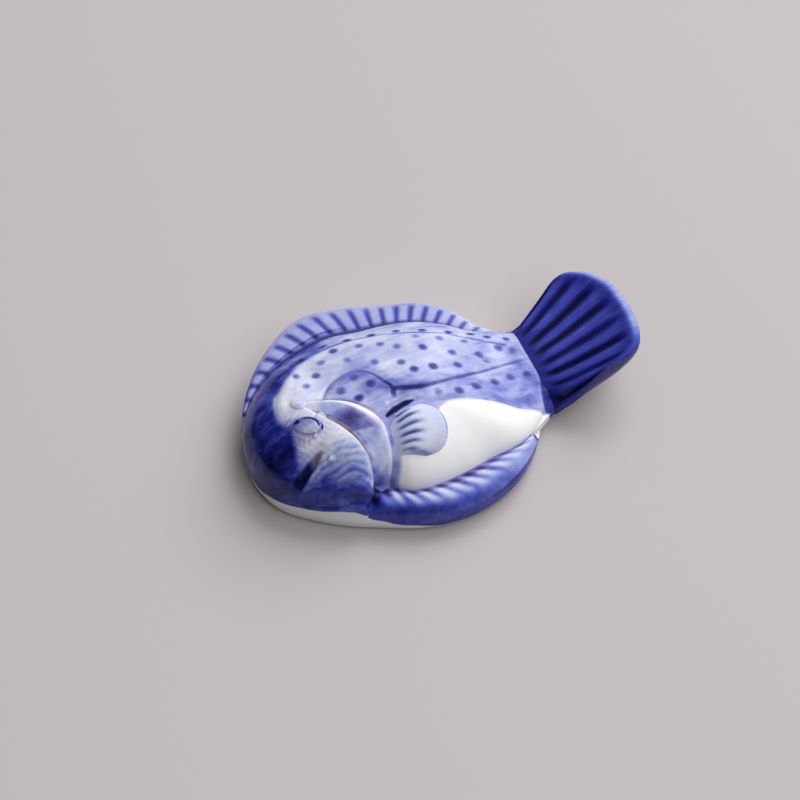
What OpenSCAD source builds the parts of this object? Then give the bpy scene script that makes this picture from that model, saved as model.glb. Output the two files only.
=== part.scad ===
// Porcelain chopstick rest in the shape of a flounder, as a potter joins it up in the clay:
// a hollow back and a hollow head on a white foot half, with fins, gill cover and eyes laid on.
// Millimetres. X runs from the snout to the tail, Y from the belly fin to the back fin, Z up.
// Angles go round the body disc: 0 at the tail, 90 at the back fin, 180 at the snout.
// A share of the rim is 0 at the disc's centre and 1 at the outline of the fish.

/* [Body disc] */
// Length of the round body
disc_len = 49; // [42:1:58]
// Width of the round body, close to that over both edge fins
disc_w = 43; // [37:1:50]
// Height of the crown of the back above the table
crown_h = 13.4; // [11.5:0.1:16]
// How much higher the head bulges than the back
head_rise = 0.8; // [0.3:0.1:1.5]
// Height of the seam between the foot half and the top half
seam_h = 2.2; // [1.8:0.1:2.8]
// Thickness of the hollow walls
wall = 2.2; // [1.6:0.1:2.6]

/* [Foot] */
// Width of the ground ring that stands on the table
foot_w = 3.4; // [2:0.1:5]
// Depth of the recess inside the ground ring
foot_recess = 0.5; // [0.3:0.1:0.8]
// Radius of the vent hole
vent_r = 1.5; // [0.8:0.1:2.2]

/* [Edge fins] */
// Number of rays in the back fin
back_rays = 21; // [14:1:26]
// Number of rays in the belly fin
belly_rays = 12; // [8:1:16]
// Depth of the grooves between the rays
ray_groove = 0.25; // [0.1:0.05:0.4]

/* [Tail] */
// Length of the tail fin beyond its root
tail_len = 17.6; // [14:0.2:21]
// Width of the tail fin
tail_w = 21.4; // [18:0.2:25]
// Width of the waist at the root of the tail
waist_w = 15.6; // [13:0.2:17]
// Height of the top of the tail at its tip
tail_h = 12.4; // [10:0.2:15]
// Thickness of the tail fin
tail_t = 3.6; // [2.8:0.1:4.4]
// Thickness of the tail fin's rounded rim
tail_rim = 1.6; // [1:0.1:2.2]
// Number of grooves in the tail fin
tail_rays = 8; // [5:1:10]
// Depth of the grooves in the tail fin
tail_groove = 0.45; // [0.2:0.05:0.7]

/* [Head] */
// Thickness of the gill cover at its free edge
gill_t = 1; // [0.6:0.1:1.4]
// Thickness of the gill cover at the cheek
gill_root_t = 0.5; // [0.3:0.1:0.8]
// Length of the lower eye
eye_len = 4.6; // [3.6:0.2:5.6]
// Height of the lower eye above the cheek
eye_h = 0.9; // [0.5:0.1:1.3]
// Width of the mouth slit
mouth_w = 1.2; // [0.8:0.1:1.6]
// Depth of the mouth slit
mouth_d = 0.9; // [0.5:0.1:1.3]

/* [Side fin] */
// Length of the side fin behind the gill cover
side_len = 8.8; // [7:0.2:10]
// Width of the side fin at its free end
side_w = 7.6; // [7:0.2:10]
// Thickness of the side fin
side_t = 1; // [0.6:0.1:1.4]
// Number of rays in the side fin
side_rays = 6; // [4:1:8]

/* [Hidden] */

half_len = disc_len / 2;
half_w = disc_w / 2;
// Snout, waist, and the widest places on the belly and back sides, as shares of half the disc
snout_share = 1.022;
waist_share = 0.93;
belly_share = 0.953;
back_share = 1.082;
// Centre of the disc, so that the whole fish is centred over its length and width
disc_x = (half_len * (snout_share - waist_share) - tail_len) / 2;
disc_y = half_w * (belly_share - back_share) / 2;
// Plane across the waist, where the tail is joined to the body
waist_x = disc_x + waist_share * half_len;
// Share of the waist's width on the belly side
waist_low_share = 0.552;
// Film of slip under what is laid on the top half
slip = 0.05;

// Outline of the fish over its edge fins, every 15 degrees, as shares of the disc
rim_shares = [1, 1, 0.885, 0.935, 0.975, 0.965, 1.035, 1.12, 1.085, 1.05, 1.03, 1.025,
              1.022, 0.998, 0.93, 0.885, 0.87, 0.905, 0.95, 0.968, 0.965, 0.945, 0.93, 1];
// Groove where the edge fins meet the body, every 15 degrees, as shares of the rim
groove_shares = [1, 0.98, 0.9, 0.807, 0.754, 0.746, 0.696, 0.705, 0.783, 0.886, 0.958, 1,
                 1, 1, 1, 0.91, 0.75, 0.773, 0.74, 0.737, 0.775, 0.9, 1, 1];
// Height at the groove, every 30 degrees, as shares of the crown's height
edge_shares = [0.47, 0.53, 0.6, 0.64, 0.62, 0.48, 0.34, 0.33, 0.36, 0.38, 0.36, 0.3];
// Outline that stands on the table, every 30 degrees, as shares of the rim
foot_shares = [0.8, 0.88, 0.92, 0.93, 0.94, 0.955, 0.965, 0.965, 0.95, 0.93, 0.9, 0.87];
// Sections of the edge fins, as shares of the way from groove to rim and of the height over the seam
back_fin_shares = [[0, 1], [0.3, 1.04], [0.65, 1.02], [0.9, 0.93], [1, 0.74]];
belly_fin_shares = [[0, 1], [0.25, 1.2], [0.5, 1.26], [0.75, 1.12], [0.93, 0.78], [1, 0.42]];
// Angles at which the joint of head and back reaches the grooves at the nape and at the throat
nape_angle = 126;
throat_angle = 234;
// Ends of the edge fins, in degrees
back_fin_ends = [20, 156];
belly_fin_ends = [throat_angle, 321];
// Line from the nape to the throat, where head and back are joined, as shares of half the disc
joint_shares = [[-0.56, 0.45], [-0.62, 0.15], [-0.575, -0.02], [-0.52, -0.125], [-0.465, -0.235],
                [-0.42, -0.35], [-0.4, -0.46]];
// The point of that line where the gill cover begins, and the cover's free edge from there to the throat
gill_start_index = 2;
gill_edge_shares = [[-0.6, 0.165], [-0.49, 0.07], [-0.37, -0.025], [-0.28, -0.155], [-0.232, -0.29],
                    [-0.232, -0.42], [-0.265, -0.53], [-0.32, -0.585]];
// Centres of the shells' domes and of the eyes, and the ends of the mouth, in the same shares
back_centre_shares = [0.02, -0.02];
head_centre_shares = [-0.68, -0.02];
lower_eye_shares = [-0.663, -0.103];
upper_eye_shares = [-0.641, 0.126];
mouth_shares = [[-0.665, -0.31], [-0.77, -0.35], [-0.875, -0.37]];
// Root of the side fin, in the same shares, and the directions of side fin and eyes, in degrees
side_root_shares = [-0.215, -0.4];
side_angle = 1;
eye_angle = -32;
// Free edge of the tail, as shares of its length and width, from the belly side to the back side
tail_shares = [[0.45, -0.07], [0.66, -0.06], [0.83, 0.005], [0.93, 0.13], [0.985, 0.305], [1, 0.485],
               [0.98, 0.645], [0.9, 0.77], [0.79, 0.85], [0.64, 0.885], [0.47, 0.835]];

// Value between p1 and p2 on a smooth curve through four even steps
function cubic(p0, p1, p2, p3, f) =
    p1 + f / 2 * (p2 - p0 + f * (2 * p0 - 5 * p1 + 4 * p2 - p3 + f * (3 * (p1 - p2) + p3 - p0)));

// Value at angle t of a list that goes evenly round the disc
function around(list, t) =
    let (n = len(list), q = t / 360 * n, i = floor(q), at = function (k) list[((k % n) + n) % n])
    cubic(at(i - 1), at(i), at(i + 1), at(i + 2), q - i);

// Smooth curve through a list of points, with so many steps from one to the next
function curve(list, steps) =
    let (n = len(list) - 1, at = function (k) list[max(0, min(n, k))])
    [for (i = [0 : n - 1], k = [0 : steps - 1]) cubic(at(i - 1), at(i), at(i + 1), at(i + 2), k / steps), list[n]];

function mix(a, b, f) = a + (b - a) * f;
function steps(a, b, n) = [for (i = [0 : n]) mix(a, b, i / n)];
function reversed(list) = [for (i = [len(list) - 1 : -1 : 0]) list[i]];
function mean(list) = [for (p = list) 1] * list / len(list);

// Plan point at angle t and share s of the rim, and at shares of half the disc
function place(shares) = [disc_x + half_len * shares.x, disc_y + half_w * shares.y];
function plan(t, s) = place([cos(t), sin(t)] * around(rim_shares, t) * s);

// Angle of a plan point, and its share of the rim
function unplace(p) = [(p.x - disc_x) / half_len, (p.y - disc_y) / half_w];
function angle_of(p) = let (q = unplace(p)) atan2(q.y, q.x);
function share_of(p) = norm(unplace(p)) / around(rim_shares, angle_of(p));

function groove(t) = min(1, around(groove_shares, t));
function edge_h(t) = crown_h * around(edge_shares, t);
function dome(s, power, soft = 0.5) = pow(max(0, 1 - pow(min(1, s), power)), soft);
function slope(s) = (1 + cos(180 * pow(min(1, s), 1.1))) / 2;

// Softness of the domes' shoulders at angle t, which fall gently to the grooves of the edge fins
function softness(t) = 0.5 + 0.35 * exp(-pow((t - 105) / 55, 2)) + 0.3 * exp(-pow((t + 78) / 38, 2));

// Height of the back at a plan point: a cushion that runs down to the waist on the tail's side
function back_z(p) =
    let (t = angle_of(p), s = share_of(p) / groove(t), low = edge_h(t), waist = exp(-pow(t / 30, 2)))
    low + (crown_h - low) * mix(dome(s, 2.4, softness(t)), slope(s), waist);

// Height of the head at a plan point: down to the groove at the nape, nearly to the rim at the throat
function head_z(p) =
    let (t = angle_of(p), low = edge_h(t), edge = t > 0 ? groove(t) : mix(1, groove(t), 0.75))
    low + (crown_h + head_rise - low) * dome(share_of(p) / edge, 3, softness(t));

function over(p, z) = [p.x, p.y, z];

// Angles of the rays and grooves of an edge fin, and the line where it meets the body
function fin_angles(ends, rays) = steps(ends[0], ends[1], 2 * rays);
back_angles = fin_angles(back_fin_ends, back_rays);
belly_angles = fin_angles(belly_fin_ends, belly_rays);

// Waist corners, joint of head and back, and outlines in plan, anticlockwise from above
waist_low = [waist_x, disc_y - waist_low_share * waist_w];
waist_high = [waist_x, waist_low.y + waist_w];
joint_line = curve([plan(nape_angle, groove(nape_angle)), for (q = joint_shares) place(q), plan(throat_angle, groove(throat_angle))], 2);
back_loop = [for (t = back_angles) if (t < nape_angle) plan(t, groove(t)),
             each joint_line,
             for (t = belly_angles) if (t > throat_angle) plan(t, groove(t)),
             waist_low, mix(waist_low, waist_high, 0.5), waist_high];
head_loop = [for (t = back_angles) if (t > nape_angle) plan(t, groove(t)),
             for (t = steps(back_fin_ends[1], throat_angle, 16)) plan(t, 1),
             each reversed(joint_line)];
fish_loop = [for (t = steps(back_fin_ends[0], 330, 62)) plan(t, 1), waist_low, waist_high];

// A closed solid through rings of points. Its ends are fans, or strips between two halves of a ring
module skin(rings, strip_ends = false) {
    n = len(rings[0]);
    m = len(rings);
    at = function (i, j) i * n + j % n;
    sides = [for (i = [0 : m - 2], j = [0 : n - 1])
        each [[at(i, j), at(i, j + 1), at(i + 1, j + 1)], [at(i, j), at(i + 1, j + 1), at(i + 1, j)]]];
    fans = [for (j = [0 : n - 1])
        each [[m * n, at(0, j + 1), at(0, j)], [m * n + 1, at(m - 1, j), at(m - 1, j + 1)]]];
    strips = [for (j = [0 : n / 2 - 2], k = [0, m - 1])
        let (quad = [at(k, j), at(k, j + 1), at(k, n - 2 - j), at(k, n - 1 - j)], q = k == 0 ? reversed(quad) : quad)
        each [[q[0], q[1], q[2]], [q[0], q[2], q[3]]]];
    points = concat([for (r = rings) each r], strip_ends ? [] : [mean(rings[0]), mean(rings[m - 1])]);
    polyhedron(points, concat(sides, strip_ends ? strips : fans), convexity = 8);
}

// A closed solid between a grid of upper points and a like grid of lower points
module slab(upper, lower) {
    skin([for (i = [0 : len(upper) - 1]) concat(upper[i], reversed(lower[i]))], strip_ends = true);
}

function inward(p, centre, d) = centre + (p - centre) * (1 - d / norm(p - centre));

// A hollow half over a loop of plan points: over the dome, down the wall and up again inside
module shell(loop, centre, top) {
    inner = [for (p = loop) inward(p, centre, wall)];
    dome_shares = [0.2, 0.4, 0.58, 0.72, 0.84, 0.93, 1];
    vault_shares = [1, 0.8, 0.5, 0.2];
    dome_rings = [for (f = dome_shares) [for (p = loop) let (q = mix(centre, p, f)) over(q, top(q))]];
    vault_rings = [for (f = vault_shares)
        [for (p = inner) let (q = mix(centre, p, f)) over(q, max(mix(seam_h, top(p), 0.4), top(q) - wall))]];
    skin([each dome_rings, [for (p = loop) over(p, seam_h)], [for (p = inner) over(p, seam_h)], each vault_rings]);
}

// A solid band on the seam from the groove to the rim, with a groove between each two rays
module edge_fin(angles, profile) {
    n = len(angles) - 1;
    w = [for (q = profile) q.x];
    cut = function (i, k) i % 2 == 1 && k > 0 && k < len(profile) - 2 ? ray_groove : 0;
    section = function (i, h) let (t = angles[n - i], rise = edge_h(t) - seam_h)
        [for (k = [0 : len(profile) - 1])
            over(plan(t, mix(groove(t), 1, w[k])), h ? seam_h + rise * profile[k].y - cut(i, k) : seam_h)];
    slab([for (i = [0 : n]) section(i, true)], [for (i = [0 : n]) section(i, false)]);
}

// An oval bead on the head, with so many rings
module eye(shares, length, height) {
    centre = place(shares);
    ring = function (f) [for (a = [0 : 20 : 340])
        let (q = [cos(a) * length / 2, sin(a) * length * 0.36] * f)
        centre + [q.x * cos(eye_angle) - q.y * sin(eye_angle), q.x * sin(eye_angle) + q.y * cos(eye_angle)]];
    skin([for (f = [0.25, 0.5, 0.75, 0.92]) [for (p = ring(f)) over(p, head_z(p) + slip + height * dome(f, 2.2))],
          each [for (f = [1, 0.6, 0.3]) [for (p = ring(f)) over(p, head_z(p) + slip)]]]);
}

module foot_half() {
    foot_ring = function (p) mix([disc_x, disc_y], p, around(foot_shares, angle_of(p)));
    foot_loop = [for (p = fish_loop) foot_ring(p)];
    recess_loop = [for (p = foot_loop) inward(p, [disc_x, disc_y], foot_w)];
    color("white")
        difference() {
            skin([[for (p = fish_loop) over(p, seam_h)], [for (p = foot_loop) over(p, 0)],
                  [for (p = recess_loop) over(p, 0)], [for (p = recess_loop) over(p, foot_recess)]]);
            translate([disc_x, disc_y, 0])
                cylinder(r = vent_r, h = seam_h + wall, $fn = 32);
        }
}

module back_shell() {
    color("lightsteelblue")
        shell(back_loop, place(back_centre_shares), function (p) back_z(p));
}

module head_shell() {
    slit = reversed(curve([for (q = mouth_shares) place(q)], 3));
    n = len(slit) - 1;
    row = function (i, h)
        [for (d = [-0.5, 0.5]) let (p = slit[i] + [0, d * mouth_w * sin(mix(15, 165, i / n))]) over(p, head_z(p) + h)];
    color("royalblue")
        difference() {
            shell(head_loop, place(head_centre_shares), function (p) head_z(p));
            slab([for (i = [0 : n]) row(i, mouth_d)], [for (i = [0 : n]) row(i, -mouth_d)]);
        }
}

module back_fin() {
    color("cornflowerblue")
        edge_fin(back_angles, back_fin_shares);
}

module belly_fin() {
    color("slateblue")
        edge_fin(belly_angles, belly_fin_shares);
}

module tail_fin() {
    edge = curve([for (q = tail_shares) [waist_x + tail_len * q.x, waist_low.y + tail_w * q.y]], 3);
    n = len(edge) - 1;
    root = steps(waist_low, waist_high, n);
    crest = function (i, u) mix(back_z(root[i]), tail_h, pow(u, 1.25));
    thick = function (i, u) mix(back_z(root[i]) - seam_h, tail_t, sin(90 * min(1, u / 0.45)));
    // Half the thickness lost at the rounded rim, and the groove between two rays
    thinner = function (i, u) (tail_t - tail_rim) / 2 * min(1, u / 0.3) * (1 - dome(max(u, abs(2 * i / n - 1)), 8));
    cut = function (i, u) tail_groove * (1 - cos(360 * tail_rays * i / n)) / 2 * sin(180 * min(1, u));
    row = function (u, h) [for (i = [0 : n])
        let (z = crest(i, u))
        over(mix(root[i], edge[i], u), h ? z - thinner(i, u) - cut(i, u) : z - thick(i, u) + thinner(i, u))];
    u_shares = [0, 0.15, 0.3, 0.45, 0.6, 0.75, 0.87, 0.95, 1];
    color("midnightblue")
        slab([for (u = u_shares) row(u, true)], [for (u = u_shares) row(u, false)]);
}

module gill_cover() {
    root = [for (i = [2 * gill_start_index : len(joint_line) - 1]) joint_line[i]];
    edge = curve([for (q = gill_edge_shares) place(q)], 2);
    n = len(root) - 1;
    thick = function (i, w) mix(gill_root_t, gill_t, w) * mix(0.35, 1, sin(180 * i / n));
    row = function (i, h) [for (w = steps(0, 1, 5))
        let (p = mix(root[i], edge[i], w)) over(p, back_z(p) + slip + (h ? thick(i, w) : 0))];
    color("steelblue")
        slab([for (i = [0 : n]) row(i, true)], [for (i = [0 : n]) row(i, false)]);
}

module side_fin() {
    root = place(side_root_shares);
    n = 2 * side_rays;
    // Fan point at share u of the length and v of the width, from the belly side to the back side
    fan = function (u, v) let (x = side_len * u * (1 - 0.16 * pow(2 * v - 1, 2)), y = side_w * (v - 0.5) * mix(0.55, 1, u))
        root + [x * cos(side_angle) - y * sin(side_angle), x * sin(side_angle) + y * cos(side_angle)];
    thick = function (u, i) side_t * mix(0.7, 1, u) - (i % 2 == 1 && u > 0 && u < 1 ? ray_groove : 0);
    row = function (u, h) [for (i = [0 : n])
        let (p = fan(u, i / n)) over(p, back_z(p) + slip + (h ? thick(u, i) : 0))];
    color("lightblue")
        slab([for (u = steps(0, 1, 6)) row(u, true)], [for (u = steps(0, 1, 6)) row(u, false)]);
}

module lower_eye() {
    color("darkblue")
        eye(lower_eye_shares, eye_len, eye_h);
}

module upper_eye() {
    color("mediumpurple")
        eye(upper_eye_shares, 0.7 * eye_len, 0.5 * eye_h);
}

foot_half();
back_shell();
head_shell();
back_fin();
belly_fin();
tail_fin();
gill_cover();
side_fin();
lower_eye();
upper_eye();
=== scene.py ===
# Porcelain chopstick rest in the shape of a flounder: a foot, a hollow back and head and laid-on fins,
# painted in cobalt under a clear glaze. The form is worked out in millimetres and degrees, and the
# finished pieces are in metres.
import math

import bpy
import numpy as np
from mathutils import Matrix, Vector


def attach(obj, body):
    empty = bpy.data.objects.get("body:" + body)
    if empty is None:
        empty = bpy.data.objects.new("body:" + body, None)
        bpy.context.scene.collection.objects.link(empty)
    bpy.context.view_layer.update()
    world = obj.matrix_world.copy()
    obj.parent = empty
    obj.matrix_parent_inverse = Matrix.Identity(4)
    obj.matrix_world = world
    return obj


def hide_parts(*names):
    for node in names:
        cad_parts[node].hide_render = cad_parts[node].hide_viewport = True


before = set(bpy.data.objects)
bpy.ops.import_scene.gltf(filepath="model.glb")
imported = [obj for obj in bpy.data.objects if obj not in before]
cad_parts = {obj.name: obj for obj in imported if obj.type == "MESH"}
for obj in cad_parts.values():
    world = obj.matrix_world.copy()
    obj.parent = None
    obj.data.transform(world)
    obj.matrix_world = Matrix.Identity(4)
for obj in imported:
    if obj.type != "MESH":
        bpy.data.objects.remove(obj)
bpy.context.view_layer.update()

MM = 0.001

# Photograph and camera

PHOTO = 800
CAMERA_AZIMUTH = math.radians(-26)
CAMERA_ELEVATION = math.radians(50)
CAMERA_DISTANCE = 349.0
CAMERA_TARGET = np.array([-0.71, -1.39, 4.7])
CAMERA_LENS = 100.0
CAMERA_SENSOR = 36.0
CAMERA_SHIFT = (-0.05, 0.0)

camera_back = np.array([math.sin(CAMERA_AZIMUTH) * math.cos(CAMERA_ELEVATION),
                        -math.cos(CAMERA_AZIMUTH) * math.cos(CAMERA_ELEVATION), math.sin(CAMERA_ELEVATION)])
camera_place = CAMERA_TARGET + camera_back * CAMERA_DISTANCE
camera_right = np.cross(-camera_back, (0, 0, 1))
camera_right /= np.linalg.norm(camera_right)
camera_up = np.cross(camera_right, -camera_back)


def sight(px, py):
    """Direction from the camera through a pixel of the photograph."""
    zoom = CAMERA_LENS / CAMERA_SENSOR
    across = ((px - PHOTO / 2) / PHOTO + CAMERA_SHIFT[0]) / zoom
    down = ((py - PHOTO / 2) / PHOTO - CAMERA_SHIFT[1]) / zoom
    return -camera_back + camera_right * across - camera_up * down


# Form of the fish, from the same sizes and shares as the CAD

HALF_LEN, HALF_W = 24.5, 21.5
TAIL_LEN, TAIL_W, TAIL_H, TAIL_T = 17.6, 21.4, 12.4, 3.6
WAIST_W = 15.6
CROWN_H, HEAD_RISE, SEAM_H = 13.4, 0.8, 2.2
WALL, GROUND_RING_W, RECESS, VENT_R = 2.2, 3.4, 0.5, 1.5
WAIST_ROUND_W, WAIST_ROUND_H = 2.2, 1.1
SNOUT, WAIST, WAIST_BELOW = 1.022, 0.93, 0.552
BACK_SIDE, BELLY_SIDE = 1.082, 0.953
DISC_X = (HALF_LEN * (SNOUT - WAIST) - TAIL_LEN) / 2
DISC_Y = HALF_W * (BELLY_SIDE - BACK_SIDE) / 2
WAIST_X = DISC_X + WAIST * HALF_LEN
WAIST_LOW = np.array([WAIST_X, DISC_Y - WAIST_BELOW * WAIST_W])
WAIST_HIGH = np.array([WAIST_X, WAIST_LOW[1] + WAIST_W])

RIM = [1, 1, 0.885, 0.935, 0.975, 0.965, 1.035, 1.12, 1.085, 1.05, 1.03, 1.025,
       1.022, 0.998, 0.93, 0.885, 0.87, 0.905, 0.95, 0.968, 0.965, 0.945, 0.93, 1]
GROOVE = [1, 0.98, 0.9, 0.807, 0.754, 0.746, 0.696, 0.705, 0.783, 0.886, 0.958, 1,
          1, 1, 1, 0.91, 0.75, 0.773, 0.74, 0.737, 0.775, 0.9, 1, 1]
EDGE = [0.47, 0.53, 0.6, 0.64, 0.62, 0.48, 0.34, 0.33, 0.36, 0.38, 0.36, 0.3]
FOOT = [0.8, 0.88, 0.92, 0.93, 0.94, 0.955, 0.965, 0.965, 0.95, 0.93, 0.9, 0.87]
NAPE, THROAT = 126, 234
BACK_FIN = (20, 164)
BELLY_FIN = (THROAT, 321)
JOINT = [(-0.56, 0.45), (-0.62, 0.15), (-0.575, -0.02), (-0.52, -0.125), (-0.465, -0.235),
         (-0.42, -0.35), (-0.4, -0.46)]
GILL_START = 1
TAIL_EDGE = [(0.45, -0.07), (0.66, -0.06), (0.83, 0.005), (0.93, 0.13), (0.985, 0.305), (1, 0.485),
             (0.98, 0.645), (0.9, 0.77), (0.79, 0.85), (0.64, 0.885), (0.47, 0.835)]


def cubic(a, b, c, d, f):
    return b + f / 2 * (c - a + f * (2 * a - 5 * b + 4 * c - d + f * (3 * (b - c) + d - a)))


def around(values, t):
    """Value at angle t, in degrees, of a list that goes evenly round the disc."""
    values = np.array(values, float)
    q = np.asarray(t, float) / 360 * len(values)
    i = np.floor(q).astype(int)
    return cubic(*(values[(i + k) % len(values)] for k in (-1, 0, 1, 2)), q - i)


def lengths(vectors):
    return np.linalg.norm(vectors, axis=1)


def run_of(line):
    """Length of the way along a line up to each of its points."""
    return np.concatenate([[0], np.cumsum(lengths(np.diff(line, axis=0)))])


def evenly(line, count, closed=False):
    """The line as count points at even steps."""
    line = np.array(line, float)
    if closed:
        line = np.vstack([line, line[:1]])
    run = run_of(line)
    want = np.linspace(0, run[-1], count + 1)[:-1] if closed else np.linspace(0, run[-1], count)
    return np.stack([np.interp(want, run, line[:, k]) for k in range(line.shape[1])], 1)


def curve(points, count):
    """Smooth curve through points, as count points evenly spread along it."""
    points = np.array(points, float)
    last = len(points) - 1
    q = np.linspace(0, last, 40 * last + 1)
    i = np.minimum(np.floor(q).astype(int), last - 1)
    f = (q - i)[:, None]
    return evenly(cubic(*(points[np.clip(i + k, 0, last)] for k in (-1, 0, 1, 2)), f), count)


def smooth(low, high, x):
    """0 up to low, 1 from high on, and a soft rise between; a fall where low is the greater."""
    f = np.clip((x - low) / (high - low), 0, 1)
    return f * f * (3 - 2 * f)


def mix(a, b, f):
    return a + (b - a) * f


def place(shares):
    """Plan points of shares of the disc's half length and half width."""
    return np.array([DISC_X, DISC_Y]) + np.asarray(shares, float) * (HALF_LEN, HALF_W)


def shares_of(p):
    q = (p[..., :2] - (DISC_X, DISC_Y)) / (HALF_LEN, HALF_W)
    return q[..., 0], q[..., 1]


def plan(t, s):
    """Plan points at angle t and share s of the rim."""
    t = np.asarray(t, float)
    r = around(RIM, t) * s
    return place(np.stack([np.cos(np.radians(t)) * r, np.sin(np.radians(t)) * r], -1))


def polar(p):
    """Angle in degrees, from -180 to 180, and share of the rim of plan points."""
    x, y = shares_of(p)
    t = np.degrees(np.arctan2(y, x))
    return t, np.hypot(x, y) / around(RIM, t)


def groove(t):
    """Share of the rim at which a fin's groove runs."""
    return np.minimum(1, around(GROOVE, t))


def edge_h(t):
    return CROWN_H * around(EDGE, t)


def fall(d, width):
    """Share by which a quarter round falls at distance d from its outer edge."""
    return 1 - np.sqrt(1 - np.clip(1 - d / width, 0, 1) ** 2)


def bell(x, width):
    return np.exp(-(x / width) ** 2)


def dome(s, power, soft=0.5):
    return np.maximum(0, 1 - np.clip(s, 0, 1) ** power) ** soft


def softness(t):
    """The domes' shoulders fall gently to the grooves of the fins."""
    return 0.5 + 0.35 * bell(t - 105, 55) + 0.3 * bell(t + 78, 38)


WAIST_SIDES = ((plan(BELLY_FIN[1], 1), WAIST_LOW), (plan(BACK_FIN[0], 1), WAIST_HIGH))


def waist_round(p):
    """How far the rounded sides of the waist fall below the smooth body."""
    drop = 0
    for fin_end, corner in WAIST_SIDES:
        way = (corner - fin_end) / np.linalg.norm(corner - fin_end)
        q = p[..., :2] - fin_end
        d = np.abs(way[0] * q[..., 1] - way[1] * q[..., 0])
        drop = drop + WAIST_ROUND_H * fall(d, WAIST_ROUND_W) * smooth(-4, 1, q @ way)
    return drop


def body_z(p):
    """Height of the smooth body: the back's cushion, falling to the waist, and the fuller head."""
    t, share = polar(p)
    x, y = shares_of(p)
    cheek = -0.42 - 0.13 * smooth(-0.5, 0.2, y)
    ahead = smooth(cheek + 0.14, cheek - 0.14, x)
    low = edge_h(t)
    back_share = np.clip(share / groove(t), 0, 1)
    falling = (1 + np.cos(np.pi * back_share ** 1.1)) / 2
    back = mix(dome(back_share, 2.4, softness(t)), falling, bell(t, 30))
    head_edge = np.where(t > 0, groove(t), mix(1, groove(t), 0.35))
    head = dome(share / head_edge, 3, softness(t))
    back_part = (CROWN_H - low) * back * (1 - ahead)
    return low + back_part + (CROWN_H + HEAD_RISE - low) * head * ahead - waist_round(p)


def on_body(pixels, lift=0.0):
    """Plan points where pixels of the photograph meet the smooth body, or a surface that far above it."""
    rays = np.array([sight(px, py) for px, py in pixels])
    heights = np.arange(18, 2, -0.02)
    points = camera_place + rays[:, None] * ((heights - camera_place[2]) / rays[:, 2:3])[..., None]
    first = (body_z(points) + lift >= heights).argmax(1)
    return points[np.arange(len(rays)), first, :2]


def along(p, line):
    """Distance of plan points from a line, share of the way along it, and side: 1 left, -1 right."""
    best = np.full(len(p), 1e9)
    share = np.zeros(len(p))
    side = np.ones(len(p))
    run = run_of(line)
    for a, b, start, end in zip(line[:-1], line[1:], run[:-1], run[1:]):
        way = b - a
        q = p - a
        f = np.clip(q @ way / (way @ way), 0, 1)
        d = lengths(q - f[:, None] * way)
        near = d < best
        best[near] = d[near]
        share[near] = mix(start, end, f[near]) / run[-1]
        side[near] = np.sign(way[0] * q[near, 1] - way[1] * q[near, 0])
    return best, share, side


def away(p, point, reach):
    """0 at a plan point, rising to 1 at that distance from it."""
    return smooth(0, reach, lengths(p - point))


# Carved lines, brush lines and places on the body, as pixels of the photograph

LATERAL_LINE = [(396, 388), (415, 387), (434, 383), (471, 374), (500, 366), (522, 360)]
ARCH_LINE = [(322, 401), (325, 393), (331, 384), (343, 375), (358, 371), (372, 374), (383, 381),
             (392, 388), (394, 400)]
SECOND_LINE = [(273, 386), (285, 374), (299, 363), (318, 352), (344, 342), (371, 336), (396, 333),
               (424, 332), (450, 334), (480, 340), (505, 345)]
HEAD_WASH_LINE = [(352, 344), (322, 352), (300, 366), (286, 381), (277, 398), (278, 414), (285, 426),
                  (293, 431), (294, 444), (298, 457), (305, 468), (314, 478), (330, 481), (350, 483),
                  (374, 489)]
BELLY_BORDER = [(338, 486), (362, 462), (384, 449), (397, 453), (420, 440), (443, 404), (470, 399),
                (500, 403), (520, 409), (552, 414)]
TAIL_ROOT_LINE = [(516, 337), (523, 351), (532, 365), (538, 378), (540, 392), (542, 404), (547, 417)]
MOUTH_LINE = [(321, 454), (312, 464), (305, 474), (299, 484), (294, 493)]
NOSTRIL = (331, 460)
CHEEK_HIGHLIGHT_BEAD = (315.5, 437.5)
GILL_RIM = [(296, 404), (307, 400.5), (320, 399), (334, 399), (350, 400.5), (363, 405), (375, 412),
            (384, 421), (389, 433), (392, 447), (393, 462), (391, 478), (386, 488)]
SIDE_FIN_ROOT = [(400, 455), (393, 438), (389, 416)]
SIDE_FIN_RIM = [(426, 453), (439, 448), (446, 439), (448, 427), (445, 415), (436, 405), (420, 401)]
# line of the painted shadow over the side fin, where the back also has a shallow pocket
WEDGE_OVER_FIN = [(387, 416), (395, 409), (403, 404), (413, 400)]
STROKES_UNDER_EYE = [[(300, 438), (299, 447)], [(304, 440), (304, 449)], [(309, 441), (310, 448)],
          [(296, 434), (294, 441)]]
DORSAL_BEADS = [(281, 371), (301, 360), (322, 347), (347, 340), (371, 335), (396, 331), (422, 330),
                (448, 332), (470, 334), (487, 337), (506, 339)]
SPOTS = [(333, 351), (359, 346), (380, 344), (397, 346), (423, 347), (439, 338), (452, 352), (464, 341),
         (479, 355), (498, 348), (321, 363), (347, 360), (375, 362), (401, 362), (414, 369), (433, 366),
         (458, 365), (316, 376), (306, 386), (296, 377), (354, 379), (371, 385), (341, 392), (359, 398),
         (438, 391), (459, 390), (476, 386), (495, 382), (510, 377), (527, 374), (415, 336), (337, 404),
         (486, 361), (512, 350)]
SPOT_INK = [0.9, 0.6, 0.55, 0.6, 0.75, 0.5, 0.8, 0.5, 0.75, 0.8, 0.7, 0.45, 0.6, 0.75, 0.9, 1.0, 0.75,
            0.85, 0.6, 0.55, 0.6, 1.0, 0.95, 0.9, 0.75, 0.95, 0.9, 0.9, 0.85, 0.95, 0.35, 0.4, 0.35, 0.5]

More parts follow.
